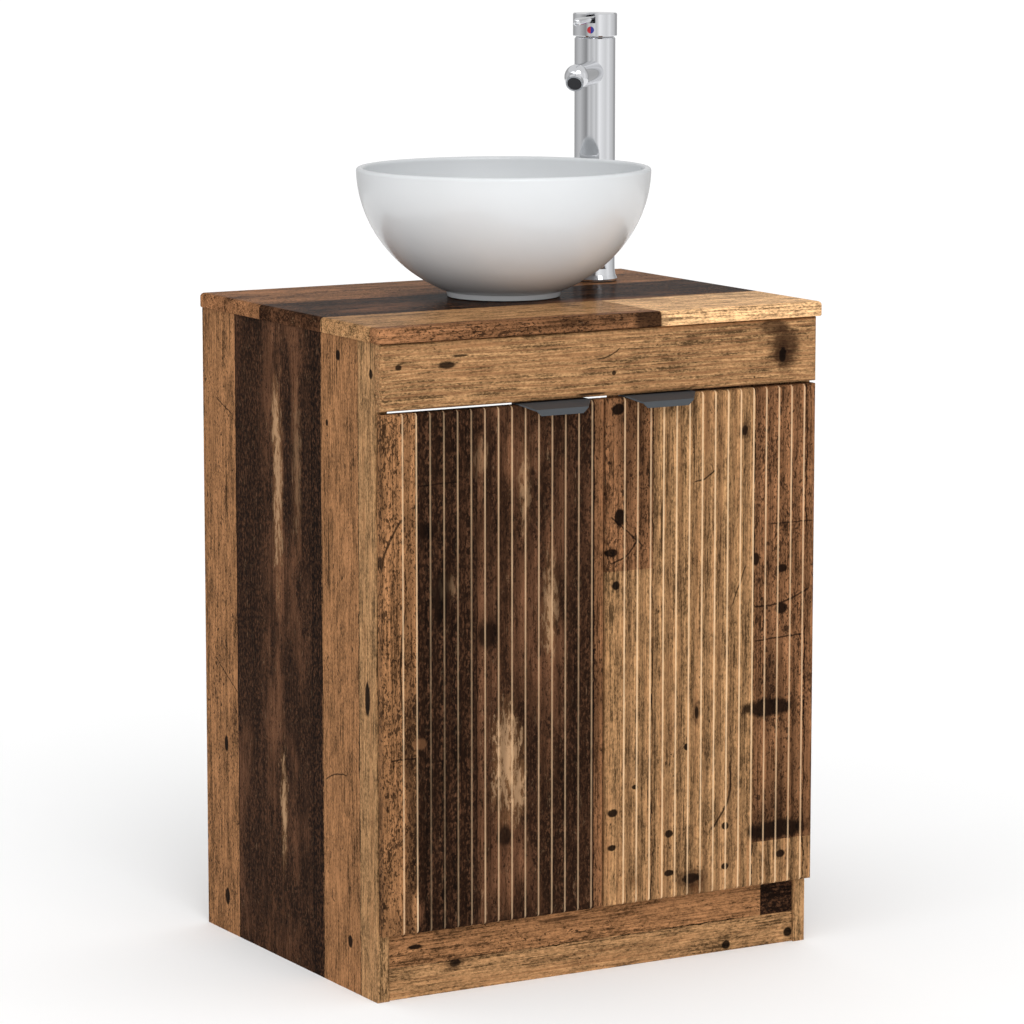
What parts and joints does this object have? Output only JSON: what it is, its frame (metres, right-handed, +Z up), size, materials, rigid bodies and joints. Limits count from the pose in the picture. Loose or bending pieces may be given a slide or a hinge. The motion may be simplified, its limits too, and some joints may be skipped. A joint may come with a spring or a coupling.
{
  "type": "bathroom vanity cabinet",
  "caption": "Floor-standing bathroom vanity cabinet with grooved double doors, folded tab pulls, a round bowl basin on the worktop and a tall pillar mixer tap.",
  "frame": {"origin": "bottom centre of the bounding box, on the floor", "axes": "+Z up; -Y towards the doors; +X to the right seen from the front"},
  "size_m": [0.61, 0.4856, 1.135],
  "materials": {
    "carcass_decor": "matte printed old-wood board decor, planks on end",
    "door_decor_left": "matte printed old-wood board decor, dark plank",
    "door_decor_right": "matte printed old-wood board decor, tan plank",
    "apron_decor": "matte printed old-wood board decor, grain across",
    "plinth_decor": "matte printed old-wood board decor, grain across",
    "top_decor": "satin printed old-wood board decor, grain across",
    "inner_board": "matte printed old-wood board decor",
    "pull_paint": "matte dark slate powder coat",
    "zinc_screw": "zinc-plated steel",
    "hinge_steel": "nickel-plated pressed steel",
    "bumper_gel": "clear soft plastic",
    "cam_zinc": "bare zinc alloy",
    "block_plastic": "white plastic",
    "bracket_steel": "zinc-plated steel",
    "ceramic_glaze": "white gloss glaze",
    "seal_rubber": "black rubber",
    "waste_chrome": "polished chrome plate",
    "tap_chrome": "polished chrome plate",
    "aerator_plastic": "dark plastic",
    "cartridge_plastic": "dark plastic",
    "indicator_enamel": "half red, half blue",
    "stud_steel": "plated steel",
    "nut_brass": "bare brass"
  },
  "bodies": {
    "cabinet": {"side_panel_left": "carcass_decor", "side_panel_right": "carcass_decor", "bottom_panel": "inner_board", "front_rail": "inner_board", "rear_top_rail": "inner_board", "rear_bottom_rail": "inner_board", "shelf": "inner_board", "plinth_board": "plinth_decor", "top_board": "top_decor", "apron_panel": "apron_decor", "hinge_plate_screws": "zinc_screw", "cam_locks": "cam_zinc", "cam_bolts": "cam_zinc", "shelf_pins": "cam_zinc", "corner_blocks": "block_plastic", "panel_screws": "zinc_screw", "wall_brackets": "bracket_steel", "bracket_screws": "zinc_screw", "basin": "ceramic_glaze", "basin_seal": "seal_rubber", "waste_body": "waste_chrome", "waste_seal": "seal_rubber", "waste_nut": "nut_brass", "tap_body": "tap_chrome", "tap_seal_ring": "seal_rubber", "tap_spout": "tap_chrome", "tap_aerator": "aerator_plastic", "tap_cartridge": "cartridge_plastic", "tap_stud": "stud_steel", "tap_horseshoe": "stud_steel", "tap_stud_nut": "stud_steel", "hinge_arm_left_upper": "hinge_steel", "hinge_plate_left_upper": "hinge_steel", "hinge_arm_left_lower": "hinge_steel", "hinge_plate_left_lower": "hinge_steel", "hinge_arm_right_upper": "hinge_steel", "hinge_plate_right_upper": "hinge_steel", "hinge_arm_right_lower": "hinge_steel", "hinge_plate_right_lower": "hinge_steel"},
    "left_door": {"door_left": "door_decor_left", "pull_left": "pull_paint", "pull_screws_left": "zinc_screw", "door_bumpers_left": "bumper_gel", "hinge_cup_left_upper": "hinge_steel", "hinge_cup_left_lower": "hinge_steel", "hinge_pins_left": "hinge_steel", "cup_screws_left": "zinc_screw"},
    "right_door": {"door_right": "door_decor_right", "pull_right": "pull_paint", "pull_screws_right": "zinc_screw", "door_bumpers_right": "bumper_gel", "hinge_cup_right_upper": "hinge_steel", "hinge_cup_right_lower": "hinge_steel", "hinge_pins_right": "hinge_steel", "cup_screws_right": "zinc_screw"},
    "plug": {"waste_plug": "waste_chrome"},
    "mixer_cap": {"tap_cap": "tap_chrome", "tap_indicator": "indicator_enamel"},
    "mixer_lever": {"tap_lever": "tap_chrome"}
  },
  "joints": [
    {"name": "left_door_hinge", "type": "hinge", "parent": "cabinet", "child": "left_door", "pos_m": [-0.2938, -0.21625, 0.39], "axis": [0, 0, -1], "range_deg": [0, 100]},
    {"name": "right_door_hinge", "type": "hinge", "parent": "cabinet", "child": "right_door", "pos_m": [0.2938, -0.21625, 0.39], "axis": [0, 0, 1], "range_deg": [0, 100]},
    {"name": "waste_plug_slide", "type": "slide", "parent": "cabinet", "child": "plug", "axis": [0, 0, 1], "range_m": [0, 0.008]},
    {"name": "mixer_turn", "type": "hinge", "parent": "cabinet", "child": "mixer_cap", "pos_m": [0.193, 0.12375, 1.11], "axis": [0, 0, 1], "range_deg": [-50, 50]},
    {"name": "mixer_lift", "type": "hinge", "parent": "mixer_cap", "child": "mixer_lever", "pos_m": [0.193, 0.12375, 1.1188], "axis": [-0.7385, 0.6743, 0], "range_deg": [0, 18]}
  ]
}
